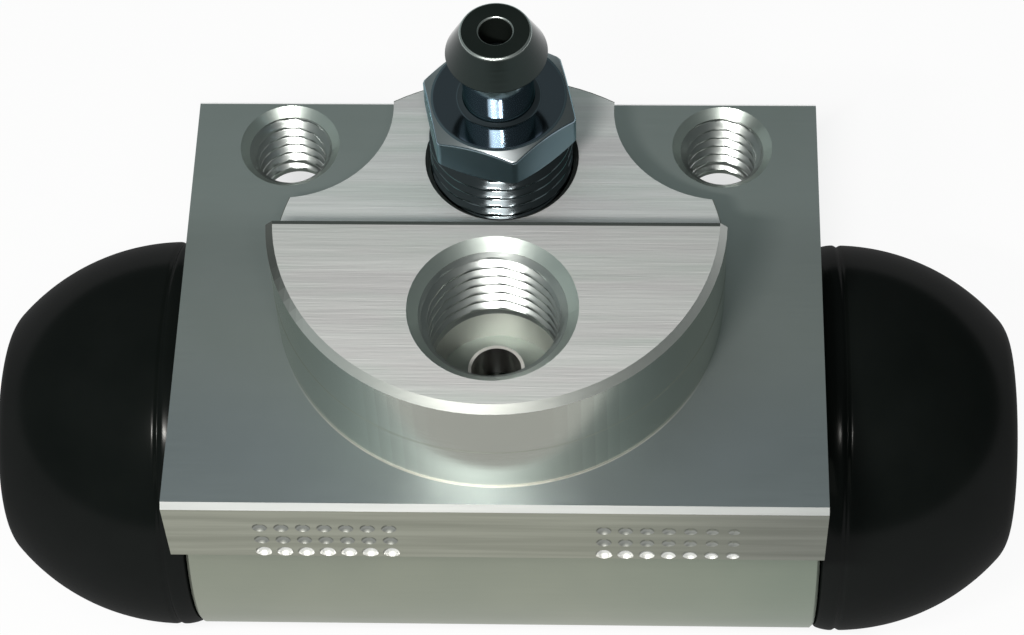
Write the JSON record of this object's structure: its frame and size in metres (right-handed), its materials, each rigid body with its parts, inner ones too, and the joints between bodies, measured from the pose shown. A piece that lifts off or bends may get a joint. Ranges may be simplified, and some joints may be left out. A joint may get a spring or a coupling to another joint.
{
  "type": "wheel cylinder",
  "caption": "Drum brake wheel cylinder: aluminium housing with a stepped pilot boss, inlet port and bleeder screw, and opposed pistons under domed rubber boots.",
  "frame": {"origin": "centre of the pilot boss on the mounting face", "axes": "+Z leaves the mounting face along the boss axis, +X runs along the bore, +Y points from the inlet port to the bleeder screw"},
  "size_m": [0.0746, 0.0344, 0.0522],
  "materials": {
    "housing": "satin",
    "plated_steel": "gloss",
    "boot_rubber": "satin",
    "piston": "satin",
    "cup_rubber": "matte",
    "pressed_steel": "satin",
    "spring_steel": "satin"
  },
  "bodies": {
    "housing": {"cylinder_body": "housing", "left_boot": "boot_rubber", "right_boot": "boot_rubber", "return_spring": "spring_steel"},
    "left_piston_set": {"left_piston": "piston", "left_cup_seal": "cup_rubber", "left_cup_expander": "pressed_steel"},
    "right_piston_set": {"right_piston": "piston", "right_cup_seal": "cup_rubber", "right_cup_expander": "pressed_steel"},
    "bleeder": {"bleeder_screw": "plated_steel"}
  },
  "joints": [
    {"name": "left_piston_slide", "type": "slide", "parent": "housing", "child": "left_piston_set", "axis": [-1, 0, 0], "range_m": [-0.0025, 0.005], "deforming": ["left_boot", "return_spring"]},
    {"name": "right_piston_slide", "type": "slide", "parent": "housing", "child": "right_piston_set", "axis": [1, 0, 0], "range_m": [-0.0025, 0.005], "deforming": ["right_boot", "return_spring"]},
    {"name": "bleeder_turn", "type": "hinge", "parent": "housing", "child": "bleeder", "pos_m": [0, 0.0086, 0], "axis": [0, 0, 1], "range_deg": [0, 360]}
  ]
}
